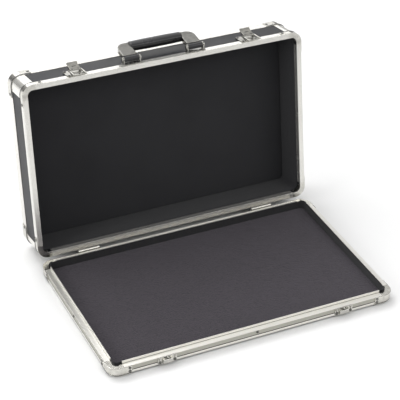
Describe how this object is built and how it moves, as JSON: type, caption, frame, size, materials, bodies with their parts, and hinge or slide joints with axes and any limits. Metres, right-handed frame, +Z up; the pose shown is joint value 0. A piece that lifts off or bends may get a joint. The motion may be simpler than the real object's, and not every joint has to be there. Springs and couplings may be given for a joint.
{
  "type": "guitar pedal case",
  "caption": "Hard carry case for guitar effects pedals: shallow carpeted tray, deep padded lid on slip hinges, draw latches and a swing handle, aluminium edging.",
  "frame": {"origin": "middle of the tray's underside, on the surface that the case stands on", "axes": "+Z up, +X to the right along the case's length, the tray's front with the catches faces -Y and the hinges are at +Y"},
  "size_m": [0.5638, 0.4931, 0.3791],
  "materials": {
    "aluminium": "satin",
    "corner_steel": "satin",
    "hardware_steel": "polished",
    "fastener_steel": "polished",
    "laminate": "satin",
    "carpet": "matte",
    "felt": "matte",
    "foam": "matte",
    "grip_rubber": "matte",
    "black_plastic": "satin"
  },
  "bodies": {
    "tray": {"tray_bottom_panel": "laminate", "tray_carpet": "carpet", "tray_wall_boards": "laminate", "tray_wall_lining": "felt", "tray_rivets": "fastener_steel", "tray_screws": "fastener_steel", "tray_frame_front": "aluminium", "tray_frame_back": "aluminium", "tray_frame_left": "aluminium", "tray_frame_right": "aluminium", "tray_corner_front_left": "corner_steel", "tray_corner_front_right": "corner_steel", "tray_corner_back_right": "corner_steel", "tray_corner_back_left": "corner_steel", "catch_left": "hardware_steel", "catch_right": "hardware_steel", "hinge_leaf_lower_left": "hardware_steel", "hinge_leaf_lower_right": "hardware_steel"},
    "hinge_pins": {"hinge_pin_left": "hardware_steel", "hinge_pin_right": "hardware_steel"},
    "lid": {"lid_top_panel": "laminate", "lid_uprights": "aluminium", "lid_rim_corners": "corner_steel", "lid_foam": "foam", "lid_wall_lining": "foam", "lid_rivets": "fastener_steel", "lid_screws": "fastener_steel", "latch_pins": "hardware_steel", "handle_pins": "hardware_steel", "lid_wall_front": "laminate", "lid_wall_back": "laminate", "lid_wall_left": "laminate", "lid_wall_right": "laminate", "lid_rim_front": "aluminium", "lid_rim_back": "aluminium", "lid_rim_left": "aluminium", "lid_rim_right": "aluminium", "lid_edge_front": "aluminium", "lid_edge_back": "aluminium", "lid_edge_left": "aluminium", "lid_edge_right": "aluminium", "lid_corner_front_left": "corner_steel", "lid_corner_front_right": "corner_steel", "lid_corner_back_right": "corner_steel", "lid_corner_back_left": "corner_steel", "hinge_leaf_upper_left": "hardware_steel", "hinge_leaf_upper_right": "hardware_steel", "latch_base_left": "hardware_steel", "latch_base_right": "hardware_steel", "handle_bracket_left": "hardware_steel", "handle_bracket_right": "hardware_steel"},
    "latch_lever_left": {"latch_lever_left": "hardware_steel"},
    "latch_lever_right": {"latch_lever_right": "hardware_steel"},
    "latch_bail_left": {"latch_bail_left": "hardware_steel"},
    "latch_bail_right": {"latch_bail_right": "hardware_steel"},
    "handle": {"handle_grip": "grip_rubber", "handle_arms": "corner_steel", "handle_bushes": "black_plastic"}
  },
  "joints": [
    {"name": "lid_slip_off", "type": "slide", "parent": "tray", "child": "hinge_pins", "axis": [1, 0, 0], "range_m": [0, 0.03]},
    {"name": "lid_hinge", "type": "hinge", "parent": "hinge_pins", "child": "lid", "pos_m": [0, 0.1745, 0.021], "axis": [-1, 0, 0], "range_deg": [-100, 0]},
    {"name": "latch_lever_left_lift", "type": "hinge", "parent": "lid", "child": "latch_lever_left", "pos_m": [-0.174, 0.242, 0.36348], "axis": [1, 0, 0], "range_deg": [-15, 85]},
    {"name": "latch_bail_left_swing", "type": "hinge", "parent": "latch_lever_left", "child": "latch_bail_left", "pos_m": [-0.174, 0.24771, 0.36699], "axis": [1, 0, 0], "range_deg": [-119, 21]},
    {"name": "latch_lever_right_lift", "type": "hinge", "parent": "lid", "child": "latch_lever_right", "pos_m": [0.174, 0.242, 0.36348], "axis": [1, 0, 0], "range_deg": [-15, 85]},
    {"name": "latch_bail_right_swing", "type": "hinge", "parent": "latch_lever_right", "child": "latch_bail_right", "pos_m": [0.174, 0.24771, 0.36699], "axis": [1, 0, 0], "range_deg": [-119, 21]},
    {"name": "handle_swing", "type": "hinge", "parent": "lid", "child": "handle", "pos_m": [0, 0.2477, 0.36705], "axis": [1, 0, 0], "range_deg": [0, 150]}
  ],
  "couplings": [
    {"joint": "latch_bail_left_swing", "follows": "latch_lever_left_lift", "ratio": -1.4},
    {"joint": "latch_bail_right_swing", "follows": "latch_lever_right_lift", "ratio": -1.4}
  ]
}
